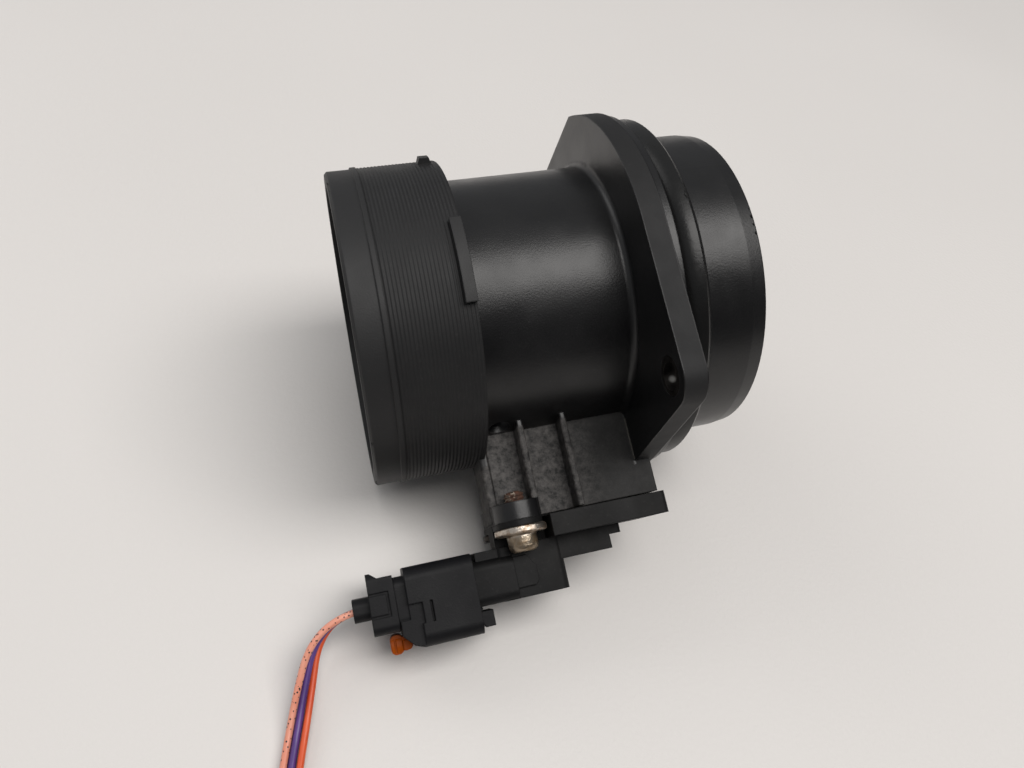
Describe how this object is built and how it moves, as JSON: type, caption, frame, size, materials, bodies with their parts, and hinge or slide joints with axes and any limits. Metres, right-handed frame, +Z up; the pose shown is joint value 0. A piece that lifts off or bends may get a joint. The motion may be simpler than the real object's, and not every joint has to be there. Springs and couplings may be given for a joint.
{
  "type": "mass airflow sensor",
  "caption": "Black tube-shaped air mass sensor with ribbed hose collar, eared flange, sealed spigot, screwed-in sensor module and a mated plug with cut wires.",
  "frame": {"origin": "on the tube's axis, at the flange's mounting face", "axes": "+X along the tube towards the spigot, +Z up as the part lies on a table, module towards -Y and down"},
  "size_m": [0.1289, 0.1602, 0.0954],
  "materials": {
    "black_housing": "satin glass-filled moulding",
    "black_module": "matte glass-filled moulding",
    "black_plug": "satin moulding",
    "black_inner": "matte moulding",
    "black_rubber": "glossy moulded rubber",
    "silicone": "soft silicone",
    "steel": "plain steel sleeve",
    "screw_metal": "zinc plated, rusty at the thread",
    "contact_metal": "tin plated",
    "board": "circuit board",
    "element": "ceramic and glass",
    "orange_lock": "satin moulding",
    "wire_salmon": "wire insulation",
    "wire_violet": "wire insulation",
    "wire_orange": "wire insulation",
    "wire_grey": "wire insulation"
  },
  "bodies": {
    "sensor": {"housing": "black_housing", "flange_bushes": "steel", "spigot_seal": "black_rubber", "flow_grid": "black_inner", "sensor_carrier": "black_module", "carrier_seal": "black_rubber", "bypass_cover": "black_inner", "board_lid": "black_inner", "circuit_board": "board", "sensing_element": "element", "air_temp_probe": "element", "terminal_pins": "contact_metal", "module_screws": "screw_metal", "plug_shell": "black_plug", "plug_core": "black_inner", "plug_seal": "silicone", "plug_contacts": "contact_metal", "wire_seal": "silicone", "rear_cover": "black_plug", "wire_1": "wire_grey", "wire_2": "wire_violet", "wire_3": "wire_orange", "wire_4": "wire_violet", "wire_5": "wire_salmon"},
    "lock": {"lock_clip": "orange_lock"}
  },
  "joints": [
    {"name": "lock_slide", "type": "slide", "parent": "sensor", "child": "lock", "axis": [-1, 0, 0], "range_m": [0, 0.0035]}
  ]
}
